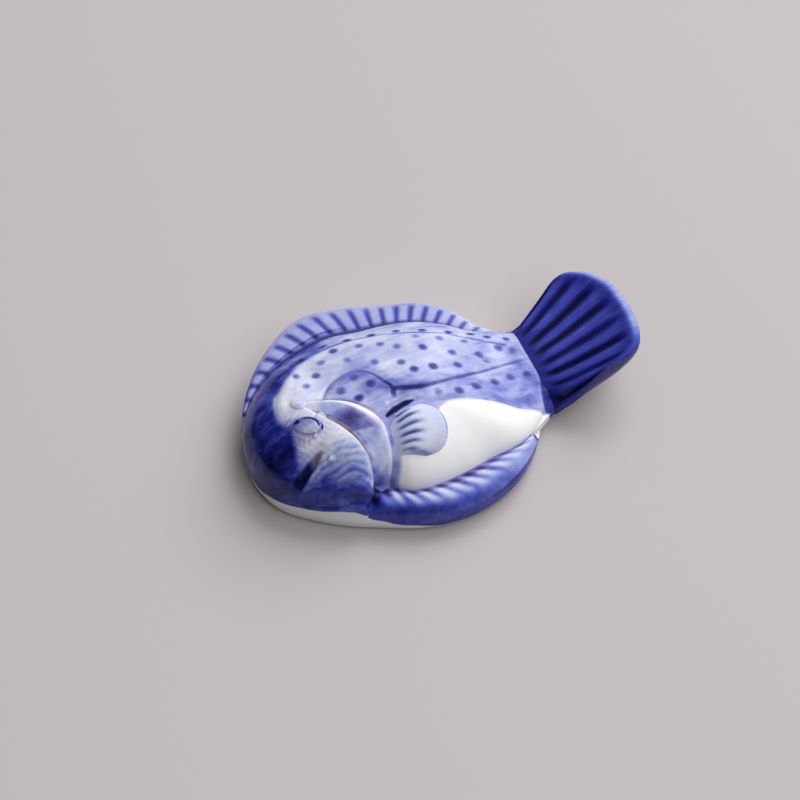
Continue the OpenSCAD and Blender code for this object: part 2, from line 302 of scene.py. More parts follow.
lateral = curve(on_body(LATERAL_LINE), 60)
arch = curve(on_body(ARCH_LINE), 60)
second = curve(on_body(SECOND_LINE), 80)
head_wash = curve(on_body(HEAD_WASH_LINE), 120)
belly_border = curve(on_body(BELLY_BORDER), 90)
tail_root = curve(on_body(TAIL_ROOT_LINE), 60)
mouth = curve(on_body(MOUTH_LINE), 40)
nostril = on_body([NOSTRIL])[0]
highlight_bead = on_body([CHEEK_HIGHLIGHT_BEAD])[0]
strokes_under_eye = [curve(on_body(line), 6) for line in STROKES_UNDER_EYE]
beads = on_body(DORSAL_BEADS)
spots = on_body(SPOTS)

side_fin_root = on_body(SIDE_FIN_ROOT, 0.3)
side_fin_rim = on_body(SIDE_FIN_RIM, 0.8)
wedge = curve(on_body(WEDGE_OVER_FIN), 40)

nape_end = plan(NAPE, groove(NAPE))
throat_end = plan(THROAT, groove(THROAT))
joint = curve([nape_end, *place(JOINT), throat_end], 240)
gill_start = lengths(joint - place(JOINT[GILL_START])).argmin()
gill_root = joint[gill_start:]
gill_edge = curve(on_body(GILL_RIM, 0.7), len(gill_root))


def cheek_rings(p):
    """Distance in ring widths from the low middle of the cheek's rings."""
    q = p - place((-0.66, -0.98))
    wobble = 0.09 * np.sin(p[:, 0] * 2.1 + 0.7 * p[:, 1]) + 0.07 * np.sin(p[:, 0] * 0.8 - 2.3 * p[:, 1])
    return (np.hypot(q[:, 0], q[:, 1] * 1.06) + wobble) / 1.02


def cheek_rise(p):
    """Height of the cheek's rounded rim over the smooth body, beside the gill cover."""
    line = np.vstack([gill_root[::4], throat_end, plan(THROAT, 1)])
    d, way, _ = along(p, line)
    fade = smooth(0, 0.4, way)
    return fade * 0.95 * (smooth(-0.1, 0.55, d) * (1 - 0.8 * smooth(0.5, 6, d)) - 0.15 * smooth(3, 7, d))


def relief(p):
    """Carved lines and swellings of the back and head."""
    d, way, side = along(p, lateral)
    taper = 1 - 0.75 * smooth(0.15, 0.9, way)
    z = 0.26 * taper * bell(d - 1.2 * (side > 0), 0.9) * (side > 0) * away(p, lateral[0], 2.5)
    z -= 0.2 * (1 - 0.5 * way) * bell(d, 0.34) * smooth(0, 0.05, way) * smooth(1, 0.93, way)
    d, way, side = along(p, arch)
    z += 0.4 * bell(d - 1.4, 1.8) * (side < 0) * away(p, arch[0], 4) * away(p, arch[-1], 4)
    z -= 0.25 * bell(d, 0.36) * smooth(1, 0.93, way)
    d, way, _ = along(p, second)
    z -= 0.16 * bell(d, 0.26) * smooth(0, 0.08, way) * smooth(1, 0.92, way)
    d, way, side = along(p, head_wash[::2])
    brow = smooth(0.12, 0.3, way) * smooth(0.55, 0.45, way)
    z += 0.22 * brow * bell(d - 0.7, 0.8) * (side > 0)
    d, way, side = along(p, tail_root)
    step = 0.05 * bell(d, 0.32) - 0.1 * bell(d - 0.8, 0.6) * (side > 0)
    return z + step * smooth(1, 0.9, way) * smooth(0, 0.1, way)


def face_relief(p):
    """The mouth's slit and lips, the nostril, the bead under the eye and the cheek's shallow rings."""
    d, way, _ = along(p, mouth)
    width = 0.5 + 0.25 * np.sin(np.pi * np.clip(way, 0.04, 1))
    slit = -1.1 * bell(d, width)
    lips = 0.2 * bell(d - 1.3, 0.5) * away(p, mouth[0], 3.5)
    z = (slit + lips) * away(p, mouth[0], 1.6) * away(p, mouth[-1], 1.8)
    pit = lengths(p - nostril)
    z += 0.16 * bell(pit, 0.5) - 0.1 * bell(pit - 0.7, 0.3)
    z += 0.3 * bell(lengths(p - highlight_bead), 0.34)
    x, y = shares_of(p)
    low_cheek = smooth(-0.24, -0.36, y) * smooth(-0.62, -0.54, y) * smooth(-0.72, -0.64, x)
    return z + 0.03 * low_cheek * np.sin(2 * np.pi * cheek_rings(p))


def head_z(p):
    return body_z(p) + relief(p) + cheek_rise(p) + face_relief(p)


def back_z(p):
    """The back, slightly sunk where it runs on under the head, so that no gap shows at the joint."""
    d, _, side = along(p, joint[::4])
    sunk = 0.25 * smooth(0, 0.5, d) * (side < 0)
    pocket = 0.2 * bell(along(p, wedge)[0], 0.5) * away(p, wedge[-1], 2)
    return body_z(p) + relief(p) - sunk - pocket


# Mesh builders

SHARP_ANGLE = math.radians(50)


def over(p, z):
    """Points in space: plan points with heights."""
    return np.concatenate([p, np.broadcast_to(np.asarray(z, float), p.shape[:1])[:, None]], 1)


def skin(rows, ends="poles"):
    """Points and faces of a closed solid through rings of points. Its ends are poles, strips or joined."""
    rows = np.array(rows)
    m, n = rows.shape[:2]
    points = rows.reshape(-1, 3)
    j = np.arange(n)
    last = m if ends == "joined" else m - 1
    faces = []
    for i in range(last):
        a = i * n + j
        b = (i + 1) % m * n + j
        faces += np.stack([a, np.roll(a, -1), np.roll(b, -1), b], 1).tolist()
    if ends == "poles":
        points = np.vstack([points, rows[0].mean(0), rows[-1].mean(0)])
        faces += [(m * n, (k + 1) % n, k) for k in range(n)]
        faces += [(m * n + 1, (m - 1) * n + k, (m - 1) * n + (k + 1) % n) for k in range(n)]
    if ends == "strips":
        for start, flip in ((0, True), ((m - 1) * n, False)):
            for k in range(n // 2 - 1):
                quad = [start + k, start + k + 1, start + n - 2 - k, start + n - 1 - k]
                faces.append(quad[::-1] if flip else quad)
    return points, faces


def slab(rows):
    """A solid through rows of plan points, each with its upper and its lower heights."""
    rings = [np.vstack([over(line, high), over(line, low)[::-1]]) for line, high, low in rows]
    return skin(rings, ends="strips")


def to_scene(thing):
    bpy.context.scene.collection.objects.link(thing)
    return thing


def volume(points, faces):
    """Six times the volume that the faces close in, below 0 where they point inwards."""
    total = 0.0
    for size in (3, 4):
        group = np.array([f for f in faces if len(f) == size])
        if len(group):
            corner = points[group]
            for k in range(1, size - 1):
                total += np.einsum("ij,ij->i", corner[:, 0], np.cross(corner[:, k], corner[:, k + 1])).sum()
    return total


def solid(name, points, faces, cobalt, violet, iron=0.0, **marks):
    """A mesh object in metres, its faces outwards, with a number at each point for every paint and mark."""
    if volume(points, faces) < 0:
        faces = [f[::-1] for f in faces]
    mesh = bpy.data.meshes.new(name)
    mesh.from_pydata((points * MM).tolist(), [], faces)
    mesh.shade_smooth()
    mesh.set_sharp_from_angle(angle=SHARP_ANGLE)
    for mark, values in {"cobalt": cobalt, "violet": violet, "iron": iron, **marks}.items():
        layer = mesh.attributes.new(mark, "FLOAT", "POINT")
        layer.data.foreach_set("value", np.broadcast_to(values, len(points)).astype(np.float32))
    return to_scene(bpy.data.objects.new(name, mesh))


def finish_piece(piece, node):
    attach(piece, "root")
    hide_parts(node)


# Paint: cobalt from 0, bare white, to 1, nearly black; violet turns it greyer; iron is the brown line

FOREHEAD_INK = [0, 0.12, 0.25, 0.4, 0.52, 0.66, 0.8, 1], [0.45, 0.62, 0.7, 0.73, 0.72, 0.83, 0.8, 0.74]
WHORL, WHORL_STEP = (-0.545, -0.165), 1.15


def ink(d, width, soft):
    """A line of a width, in amount from 0 to 1, at distance d from its middle."""
    return 1 - smooth(width / 2 - soft, width / 2 + soft, d)


def layered(under, paint, amount):
    """Paint over what lies under, as far as it is darker, by amount."""
    return under + (np.maximum(paint, under) - under) * amount


def body_paint(p):
    """The painting of back and head at plan points."""
    t, share = polar(p)
    x, y = shares_of(p)
    on_arch = along(p, arch)
    on_lateral = along(p, lateral)
    cobalt = 0.26 + 0.08 * smooth(0.2, 0.9, x) + 0.13 * smooth(0.14, -0.3, y) * smooth(-0.3, 0.1, x)
    cobalt -= 0.09 * smooth(-0.35, -0.55, x)

    # the blue wash around the arched plate and along the carved line
    d, _, side = on_arch
    both_ends = away(p, arch[0], 3) * away(p, arch[-1], 2.5)
    cobalt += 0.14 * bell(d - 0.8, 1.1) * (side > 0) * both_ends * away(p, arch[0], 12)
    cobalt += 0.22 * (side < 0) * smooth(6.5, 0, d) * both_ends
    d, way, _ = on_lateral
    cobalt += 0.13 * bell(d, 1.0) * smooth(0.9, 0.1, way) * smooth(0, 0.05, way)

    # deep blue of the forehead, from the nape round to the jaw
    d, way, side = along(p, head_wash[::2])
    depth = np.interp(way, *FOREHEAD_INK)
    outside = np.where(side < 0, d, -d) + 0.2 * np.sin(way * 23) + 0.07 * np.sin(way * 67 + 1)
    ahead = smooth(-0.2, -0.38, x) * (x < -0.25) * ((t > 90) | (t < 0))
    depth += 0.09 * bell(outside - 4.6, 2.8) * smooth(0.42, 0.55, way) * smooth(0.8, 0.65, way)
    depth -= smooth(0.88, 1, share) * (0.12 * smooth(0.42, 0.3, way) + 0.06)
    cobalt = layered(cobalt, 0.54, 0.65 * smooth(-2.4, 0.3, outside) * smooth(0.46, 0.56, way) * ahead)
    amount = smooth(-0.4, 0.9, outside) * ahead
    cobalt = layered(cobalt, depth, amount)
    violet = mix(0.3, 0.06, amount)

    # the cheek: whorls by the eye, rings below, and a painted highlight along its rim beside the gill cover
    cheek = (1 - smooth(-0.3, 0.6, outside)) * smooth(-0.4, -0.46, x) * smooth(0.12, 0, y)
    rings = 0.5 - 0.5 * np.sin(2 * np.pi * cheek_rings(p))
    q = np.abs((p - place(WHORL)) @ np.array([[1.0, 0.35], [-0.2, 1.0]]))
    whorl = 0.5 + 0.5 * np.sin(2 * np.pi * (q[:, 0] + q[:, 1]) / WHORL_STEP)
    low_cheek = smooth(-0.22, -0.4, y)
    low_ink = 0.1 + 0.13 * rings ** 2 + 0.2 * smooth(-0.5, -0.75, y)
    cobalt += cheek * mix(0.08 * whorl ** 2 - 0.03, low_ink, low_cheek)
    violet = mix(violet, mix(0.7, 0.08, low_cheek), cheek)
    off_root, down_root, root_side = along(p, joint[gill_start::3])
    # painted highlight: pale paint along the cheek's rounded rim beside the gill cover
    rim = smooth(1.4, 0.5, off_root) * smooth(0.05, 0.2, down_root) * smooth(0.92, 0.75, down_root)
    cobalt = mix(cobalt, 0.1, 0.75 * rim * (root_side < 0) * cheek)

    # the white belly
    d, _, side = along(p, belly_border[::2])
    belly = smooth(-0.3, 0.3, np.where(side < 0, d, -d)) * smooth(-0.42, -0.3, x)
    cobalt = mix(cobalt, 0, belly)

    # the low end of the gill, where its blue runs out over the body
    run_out = smooth(4.2, 3.2, off_root) * smooth(0.62, 0.8, down_root) * (root_side > 0)
    cobalt = mix(cobalt, 0.32 + 0.2 * smooth(0.92, 1, down_root), run_out)

    # carved lines
    d, way, _ = on_lateral
    line = ink(d, np.interp(way, [0, 0.3, 1], [0.8, 0.55, 0.34]), 0.2)
    cobalt = layered(cobalt, np.interp(way, [0, 0.4, 1], [0.8, 0.7, 0.58]), line)
    violet = np.maximum(violet, 0.8 * line)
    d, way, _ = on_arch
    line = ink(d, np.interp(way, [0, 0.5, 0.8, 1], [0.35, 0.4, 0.65, 0.8]), 0.2) * smooth(1.0, 0.9, way)
    cobalt = layered(cobalt, np.interp(way, [0, 0.5, 1], [0.45, 0.58, 0.82]), line)
    violet = np.maximum(violet, 0.8 * line)
    d, way, side = along(p, second)
    cobalt = layered(cobalt, 0.66, ink(d, 0.24, 0.2) * smooth(0, 0.1, way))
    band = smooth(0.3, -0.3, np.where(side > 0, -d, d)) * smooth(20, 40, t) * (x > -0.62)
    cobalt = layered(cobalt, 0.34, 0.6 * band)

    # spots, and the dashes along the back fin
    for spot, strength in zip(spots, SPOT_INK):
        q = (p - spot) @ np.array([[1, 0.25], [-0.2, 1.0]])
        dot = ink(lengths(q), 0.95 + 0.4 * strength, 0.36) * strength
        cobalt = layered(cobalt, 0.76, 0.95 * dot)
        violet = np.maximum(violet, dot)
    for bead, way in zip(beads, np.gradient(beads, axis=0)):
        way = way / np.linalg.norm(way)
        q = p - bead
        dot = ink(np.hypot(q @ way / 1.9, q @ (-way[1], way[0])), 0.62, 0.2)
        cobalt = layered(cobalt, 0.85, 0.9 * dot)
        violet = np.maximum(violet, 0.6 * dot)

    # the groove of the back fin, and the root of the tail
    edge = ink((groove(t) - share) * 20, 0.8, 0.35) * smooth(8, 30, t) * smooth(166, 158, t)
    cobalt = layered(cobalt, 0.85, edge)
    violet = np.maximum(violet, 0.7 * edge)
    d, way, side = along(p, tail_root)
    beyond = np.where(side > 0, d, -d)
    cobalt = layered(cobalt, 0.5, smooth(-3.6, 0.1, beyond) * 0.6 * (1 - belly))
    cobalt = layered(cobalt, 0.8, smooth(0.1, 0.5, beyond) * (1 - belly))
    cobalt = mix(cobalt, 0.4, 0.6 * bell(beyond, 0.2) * smooth(1, 0.85, way) * smooth(0, 0.15, way))

    # brown line and dark corner outside the gill cover, and a painted shadow in the pocket over the side fin
    d, way, _ = along(p, gill_edge[::3])
    upper = smooth(0.62, 0.5, way)
    lower = ink(d, 2.4, 0.5) * smooth(0.5, 0.62, way)
    cobalt = layered(cobalt, 0.55, 0.7 * ink(d, 1.1, 0.5) * smooth(0.1, 0.3, way) * upper)
    iron = 0.55 * ink(np.abs(d - 0.45), 0.3, 0.14) * smooth(0.05, 0.2, way) * upper
    cobalt = layered(cobalt, 0.42, 0.9 * lower)
    violet = mix(violet, 0.5, lower)
    d, way, side = along(p, wedge)
    # painted shadow: near black along the side fin's upper edge, where it stands off the body
    cobalt = layered(cobalt, 1.0, ink(d, np.interp(way, [0, 0.35, 0.8, 1], [0.4, 0.85, 0.8, 0.2]), 0.2))
    brown = 0.42 * ink(np.abs(d - 0.95), 0.5, 0.25) * (side > 0)
    iron = np.maximum(iron, brown * away(p, wedge[0], 3) * away(p, wedge[-1], 1))
    return cobalt, violet, iron


def face_paint(p, cobalt, violet, iron):
    """The mouth, the nostril and the bead under the eye, with painted highlights, and the brown strokes under
    the eye.
    """
    d, way, _ = along(p, mouth)
    slit = ink(d, np.interp(way, [0, 0.3, 0.7, 1], [0.7, 1.2, 1.5, 1.0]), 0.28)
    slit *= smooth(0.995, 0.96, polar(p)[1])
    black = smooth(0.12, 0.42, way)
    cobalt = layered(cobalt, 1, slit * black)
    iron = np.maximum(iron, slit * (1 - black) * 0.75)
    cobalt = layered(cobalt, 0.6, slit * (1 - black) * 0.7)
    # painted highlight: a pale band along the ridges of the lips
    cobalt = mix(cobalt, 0.36, 0.4 * bell(d - 1.2, 0.35) * smooth(0.8, 0.5, way) * away(p, mouth[0], 3))
    pit = lengths(p - nostril)
    below = lengths(p - nostril + (0.25, 0.5))
    cobalt = layered(cobalt, 0.5, 0.8 * ink(below, 0.8, 0.35))
    violet = np.maximum(violet, ink(below, 0.8, 0.35))
    # painted highlight: a white dot on the nostril
    cobalt = mix(cobalt, 0.02, ink(pit, 0.42, 0.16))
    off_highlight_bead = lengths(p - highlight_bead)
    # painted highlight: a white dot on the bead under the eye, ringed with darker paint
    cobalt = mix(cobalt, 0.02, ink(off_highlight_bead, 0.5, 0.2))
    cobalt = layered(cobalt, 0.55, 0.5 * ink(np.abs(off_highlight_bead - 0.42), 0.14, 0.08))
    # short brown-grey strokes under the eye
    for line in strokes_under_eye:
        d, way, _ = along(p, line)
        stroke = ink(d, 0.3, 0.14) * smooth(1, 0.5, way)
        iron = np.maximum(iron, 0.3 * stroke)
        cobalt = layered(cobalt, 0.42, 0.35 * stroke)
    return cobalt, violet, iron


BARE = 0.01
BLUE_BORDER = [(140, 2.0), (185, 2.2), (198, 3.1), (209, 3.3), (218, 4.0), (229, 4.6), (237, 3.4),
               (244, 2.3), (254, 1.8), (265, 1.1), (275, 1.1), (290, 0.6), (322, 0.3), (326, 6.0)]


def border_z(t):
    """Height of the lower edge of the blue round the rim, wavy as a brush leaves it."""
    turn = np.mod(t, 360)
    angles, heights = np.array(BLUE_BORDER).T
    return np.interp(turn, angles, heights, left=2.0) + 0.08 * np.sin(np.radians(turn) * 23) * (turn > 150)


def blue_above(t, z, lowered=0.0):
    """1 where the rim is blue and 0 where it is left bare, at angle t and height z."""
    return smooth(-0.12, 0.12, z - border_z(t) + lowered)


# Node helpers

def nodes_of(tree):
    """Adds a node of a kind to the tree, its inputs linked or set by name or number."""
    def add(kind, inputs=(), **settings):
        node = tree.nodes.new(kind)
        for key, value in settings.items():
            setattr(node, key, value)
        for key, value in dict(inputs).items():
            socket = node.inputs[key]
            if isinstance(value, bpy.types.NodeSocket):
                tree.links.new(value, socket)
            else:
                socket.default_value = value
        return node
    return add


def math_of(add):
    def calc(operation, a, b=0.0, c=0.0, clamp=False):
        node = add("ShaderNodeMath", {0: a, 1: b, 2: c}, operation=operation, use_clamp=clamp)
        return node.outputs[0]
    return calc


def ray_tree():
    """Geometry Nodes: presses the furrows between fin rays into a fin, and marks them for the paint."""
    tree = bpy.data.node_groups.new("fin rays", "GeometryNodeTree")
    face = tree.interface
    face.new_socket("Geometry", in_out="INPUT", socket_type="NodeSocketGeometry")
    for label, value in (("Rays", 12.0), ("Depth", 0.0003), ("Slant", 0.0), ("Sharpness", 1.5),
                         ("Start", 0.1), ("Start Fade", 0.1), ("End", 0.85), ("End Fade", 0.1)):
        face.new_socket(label, in_out="INPUT", socket_type="NodeSocketFloat").default_value = value
    face.new_socket("Material", in_out="INPUT", socket_type="NodeSocketMaterial")
    face.new_socket("Geometry", in_out="OUTPUT", socket_type="NodeSocketGeometry")
    add = nodes_of(tree)
    calc = math_of(add)
    given = add("NodeGroupInput").outputs

    def mark(name):
        return add("GeometryNodeInputNamedAttribute", {"Name": name}, data_type="FLOAT").outputs[0]

    def ramp(value, low, high):
        return add("ShaderNodeMapRange", {"Value": value, "From Min": low, "From Max": high},
                   interpolation_type="SMOOTHSTEP").outputs["Result"]

    reach = mark("reach")
    count = calc("MULTIPLY_ADD", mark("across"), given["Rays"], calc("MULTIPLY", reach, given["Slant"]))
    wave = calc("COSINE", calc("MULTIPLY", count, 2 * math.pi))
    furrow = calc("POWER", calc("MULTIPLY_ADD", wave, -0.5, 0.5), given["Sharpness"])
    begins = ramp(reach, given["Start"], calc("ADD", given["Start"], given["Start Fade"]))
    ends = ramp(reach, calc("SUBTRACT", given["End"], given["End Fade"]), given["End"])
    shown = calc("MULTIPLY", calc("MULTIPLY", begins, calc("SUBTRACT", 1.0, ends)), mark("rayed"))
    depth = calc("MULTIPLY", furrow, shown)
    sunk = calc("MULTIPLY", depth, calc("MULTIPLY", given["Depth"], -1.0))
    normal = add("GeometryNodeInputNormal").outputs[0]
    inward = add("ShaderNodeVectorMath", {0: normal, "Scale": sunk}, operation="SCALE").outputs[0]
    marked = {"Geometry": given["Geometry"], "Name": "furrow", "Value": depth}
    kept = add("GeometryNodeStoreNamedAttribute", marked, data_type="FLOAT", domain="POINT").outputs[0]
    pressed = add("GeometryNodeSetPosition", {"Geometry": kept, "Offset": inward}).outputs[0]
    real = add("GeometryNodeRealizeInstances", {"Geometry": pressed}).outputs[0]
    painted = add("GeometryNodeSetMaterial", {"Geometry": real, "Material": given["Material"]}).outputs[0]
    add("NodeGroupOutput", {0: painted})
    return tree


def press_rays(piece, tree, material, **sizes):
    """Runs the fin ray tree on a fin and keeps the result as a plain mesh."""
    modifier = piece.modifiers.new("rays", "NODES")
    modifier.node_group = tree
    sockets = {item.name: item.identifier for item in tree.interface.items_tree
               if item.item_type == "SOCKET" and item.in_out == "INPUT"}
    modifier[sockets["Material"]] = material
    for label, value in sizes.items():
        modifier[sockets[label.replace("_", " ")]] = float(value)
    ready = piece.evaluated_get(bpy.context.evaluated_depsgraph_get())
    mesh = bpy.data.meshes.new_from_object(ready)
    piece.modifiers.remove(modifier)
    plain = piece.data
    piece.data = mesh
    bpy.data.meshes.remove(plain)
    mesh.name = piece.name


# Glazes

def colour(*rgb):
    """Linear colour of a screen colour from 0 to 255."""
    parts = np.array(rgb) / 255
    return (*np.where(parts <= 0.04045, parts / 12.92, ((parts + 0.055) / 1.055) ** 2.4), 1.0)


COBALT_TINTS = [(0.0, (242, 242, 243)), (0.1, (220, 223, 236)), (0.22, (192, 198, 226)),
                (0.35, (156, 166, 213)), (0.5, (100, 113, 192)), (0.65, (58, 68, 166)),
                (0.8, (28, 33, 124)), (0.92, (14, 14, 82)), (1.0, (6, 6, 34))]
VIOLET_TINTS = [(0.0, (243, 242, 243)), (0.1, (223, 221, 234)), (0.22, (200, 197, 223)),
                (0.35, (166, 163, 205)), (0.5, (124, 122, 182)), (0.65, (90, 87, 148)),
                (0.8, (58, 54, 112)), (0.92, (32, 26, 68)), (1.0, (12, 8, 30))]
IRON_LINE = (132, 118, 92)
CLAY_TINTS = [(0.35, (222, 216, 204)), (0.65, (236, 233, 226))]


def empty_material(name):
    material = bpy.data.materials.new(name)
    material.use_nodes = True
    material.node_tree.nodes.clear()
    return material, nodes_of(material.node_tree)


def noise_of(add, vector):
    def noise(scale, detail, **more):
        inputs = {"Vector": vector, "Scale": scale, "Detail": detail, **more}
        return add("ShaderNodeTexNoise", inputs).outputs[0]
    return noise


def tint_ramp(add, tints, density):
    node = add("ShaderNodeValToRGB", {"Fac": density})
    points = node.color_ramp.elements
    while len(points) < len(tints):
        points.new(0.5)
    for point, (where_to, rgb) in zip(points, tints):
        point.position = where_to
        point.color = colour(*rgb)
    return node.outputs["Color"]


def painted_glaze(name, furrow_ink=0.0, brush=(160, 160, 160), streaks=0.35, mottle=0.2, combed=0.0):
    """Cobalt on white porcelain under a clear glaze. The marks give the ink, and noise the brush's
    unevenness: swept in the brush's own direction, or combed so many times across a fin, along its rays."""
    material, add = empty_material(name)
    calc = math_of(add)

    def mark(label):
        return add("ShaderNodeAttribute", attribute_name=label).outputs["Fac"]

    place_on = add("ShaderNodeTexCoord").outputs["Object"]
    if combed:
        swept = add("ShaderNodeCombineXYZ", {0: calc("MULTIPLY", mark("across"), combed),
                                             1: calc("MULTIPLY", mark("reach"), 4.0)}).outputs[0]
    else:
        swept = add("ShaderNodeMapping", {"Vector": place_on, "Scale": brush}).outputs[0]
    bristles = noise_of(add, swept)(1.0, 6.0, Roughness=0.62, Distortion=0.6)
    noise = noise_of(add, place_on)
    pools = noise(260.0, 4.0)
    grain = noise(2600.0, 3.0)
    laid = calc("MULTIPLY_ADD", mark("furrow"), furrow_ink, mark("cobalt"), clamp=True)
    wet = calc("MULTIPLY", laid, calc("SUBTRACT", 1.25, laid))
    uneven = calc("MULTIPLY_ADD", calc("SUBTRACT", bristles, 0.5), streaks * 2,
                  calc("MULTIPLY_ADD", calc("SUBTRACT", pools, 0.5), mottle * 2,
                       calc("MULTIPLY", calc("SUBTRACT", grain, 0.5), 0.16)))
    density = calc("MULTIPLY_ADD", wet, uneven, laid, clamp=True)
    blue = tint_ramp(add, COBALT_TINTS, density)
    grey_blue = tint_ramp(add, VIOLET_TINTS, density)
    cool = add("ShaderNodeMix", {0: mark("violet"), 6: blue, 7: grey_blue}, data_type="RGBA")
    lined = add("ShaderNodeMix", {0: mark("iron"), 6: cool.outputs[2], 7: colour(*IRON_LINE)},
                data_type="RGBA")
    bump = add("ShaderNodeBump", {"Strength": 0.25, "Distance": 0.0001, "Height": noise(420.0, 2.0)})
    rough = calc("MULTIPLY_ADD", pools, 0.08, 0.1)
    shader = add("ShaderNodeBsdfPrincipled", {
        "Base Color": lined.outputs[2], "Roughness": rough, "IOR": 1.36, "Coat Weight": 0.1,
        "Coat Roughness": 0.03, "Coat IOR": 1.5, "Subsurface Weight": 0.12, "Subsurface Scale": 0.0006,
        "Subsurface Radius": (1.0, 0.9, 0.8), "Normal": bump.outputs[0]})
    add("ShaderNodeOutputMaterial", {0: shader.outputs[0]})
    return material


def bare_clay(name):
    """Unglazed porcelain of the ground ring, dry and slightly sandy."""
    material, add = empty_material(name)
    noise = noise_of(add, add("ShaderNodeTexCoord").outputs["Object"])
    tone = tint_ramp(add, CLAY_TINTS, noise(180.0, 4.0))
    bump = add("ShaderNodeBump", {"Strength": 0.5, "Distance": 0.00008, "Height": noise(3200.0, 5.0)})
    clay = {"Base Color": tone, "Roughness": 0.75, "Normal": bump.outputs[0]}
    add("ShaderNodeOutputMaterial", {0: add("ShaderNodeBsdfPrincipled", clay).outputs[0]})
    return material


# Pieces

def rim_line(start, end, share, count=400):
    t = np.linspace(start, end, count)
    return plan(t, share(t) if callable(share) else share)


def closing_steps(count, closing):
    """Steps from 0 to 1 that come closer together towards 1."""
    even = np.linspace(0, 1, count)
    return mix(even, np.sin(even * np.pi / 2), closing)


def ring_shares(pole, first, shoulder, even, closing):
    """Shares of the way out from a pole: even rings as far as the shoulder, then closing ones."""
    over_shoulder = np.sin(np.linspace(0, np.pi / 2, closing)[1:])
    return np.concatenate([[pole], np.linspace(first, shoulder, even), mix(shoulder, 1, over_shoulder)])


SHELL_RINGS = ring_shares(0.008, 0.02, 0.88, 84, 24)
EYE_RINGS = ring_shares(0.03, 0.08, 0.9, 30, 8)
OUTLINE_POINTS, HEAD_POINTS, EYE_POINTS = 640, 520, 120
INNER_RINGS = (1, 0.9, 0.7, 0.45, 0.2, 0.03)


def shell_rows(loop, centre, top):
    """Rings of a hollow half: over the dome, down the wall to the seam and up again inside."""
    rows = [over(q, top(q)) for q in (mix(centre, loop, f) for f in SHELL_RINGS)]
    rim_z = rows[-1][:, 2]
    rows += [over(loop, mix(rim_z, SEAM_H, f)) for f in np.linspace(0.05, 1, 20)]
    inner = centre + (loop - centre) * (1 - WALL / lengths(loop - centre)[:, None])
    rows.append(over(inner, SEAM_H))
    for q in (mix(centre, inner, f) for f in INNER_RINGS):
        rows.append(over(q, np.maximum(mix(SEAM_H, rim_z, 0.4), body_z(q) - WALL)))
    return np.array(rows)


def build_foot(glaze, clay):
    """The lower half: curved wall, bare ground ring, recessed underside and a vent hole in its middle."""
    centre = np.array([DISC_X, DISC_Y])
    outline = np.vstack([rim_line(BACK_FIN[0], 330, 1), WAIST_LOW, WAIST_HIGH])
    outline = evenly(outline, OUTLINE_POINTS, closed=True)
    ground = mix(centre, outline, around(FOOT, polar(outline)[0])[:, None])
    rows = []
    for a in np.linspace(0, np.pi / 2, 18):
        inset = (1 - math.cos(a)) ** 0.9
        rows.append(over(mix(outline, ground, inset), SEAM_H * (1 - math.sin(a) ** 1.15)))
    within = ground + (centre - ground) * GROUND_RING_W / lengths(ground - centre)[:, None]
    first_ring = len(rows)
    for f in (0.1, 0.35, 0.65, 0.9, 1):
        rows.append(over(mix(ground, within, f), 0.0))
    last_ring = len(rows)
    recessed = [(f, RECESS) for f in (0.14, 0.3, 0.5, 0.7, 0.85)]
    for f, z in [(0.03, 0.16), (0.06, 0.36), (0.1, 0.47), *recessed]:
        rows.append(over(mix(within, centre, f), z))
    vent = centre + (outline - centre) / lengths(outline - centre)[:, None] * VENT_R
    for flare, z in ((0.12, RECESS), (0.04, 0.62), (0, 0.9), (0, 1.5), (0, SEAM_H)):
        rows.append(over(vent + (vent - centre) * flare, z))
    rows.append(over(mix(vent, outline, 0.5), SEAM_H))
    points, faces = skin(rows, ends="joined")
    t, share = polar(points)
    dipped = blue_above(t, points[:, 2]) * (np.mod(t, 360) > 236) * (share > 0.85)
    piece = solid("foot", points, faces, BARE + 0.74 * dipped, 0.1, furrow=0.0)
    piece.data.materials.append(glaze)
    piece.data.materials.append(clay)
    finish = np.zeros(len(piece.data.polygons), dtype=np.int32)
    finish[(first_ring - 1) * OUTLINE_POINTS:last_ring * OUTLINE_POINTS] = 1
    piece.data.polygons.foreach_set("material_index", finish)
    return piece


def build_back(glaze):
    forward = curve([nape_end, *(place(JOINT) + (-0.6, 0)), throat_end], 240)
    loop = np.vstack([rim_line(BACK_FIN[0], NAPE, groove), forward, rim_line(THROAT, BELLY_FIN[1], groove),
                      WAIST_LOW, WAIST_HIGH])
    loop = evenly(loop, OUTLINE_POINTS, closed=True)
    points, faces = skin(shell_rows(loop, place((0.02, -0.02)), back_z))
    cobalt, violet, iron = body_paint(points[:, :2])
    to_throat = lengths(points[:, :2] - throat_end)
    cobalt = layered(cobalt, 0.62, smooth(2.6, 1.4, to_throat))
    piece = solid("back", points, faces, cobalt, violet, iron, furrow=0.0)
    piece.data.materials.append(glaze)
    return piece


def build_head(glaze):
    loop = np.vstack([rim_line(NAPE, BACK_FIN[1], groove), rim_line(BACK_FIN[1], THROAT, 1), joint[::-1]])
    loop = evenly(loop, HEAD_POINTS, closed=True)
    points, faces = skin(shell_rows(loop, place((-0.68, -0.02)), head_z))
    cobalt, violet, iron = face_paint(points[:, :2], *body_paint(points[:, :2]))
    t, share = polar(points)
    at_rim = smooth(0.9, 0.94, share) * (shares_of(points)[0] < -0.3)
    cobalt = mix(cobalt, BARE, (1 - blue_above(t, points[:, 2])) * at_rim)
    piece = solid("head", points, faces, cobalt, violet, iron, furrow=0.0)
    piece.data.materials.append(glaze)
    return piece


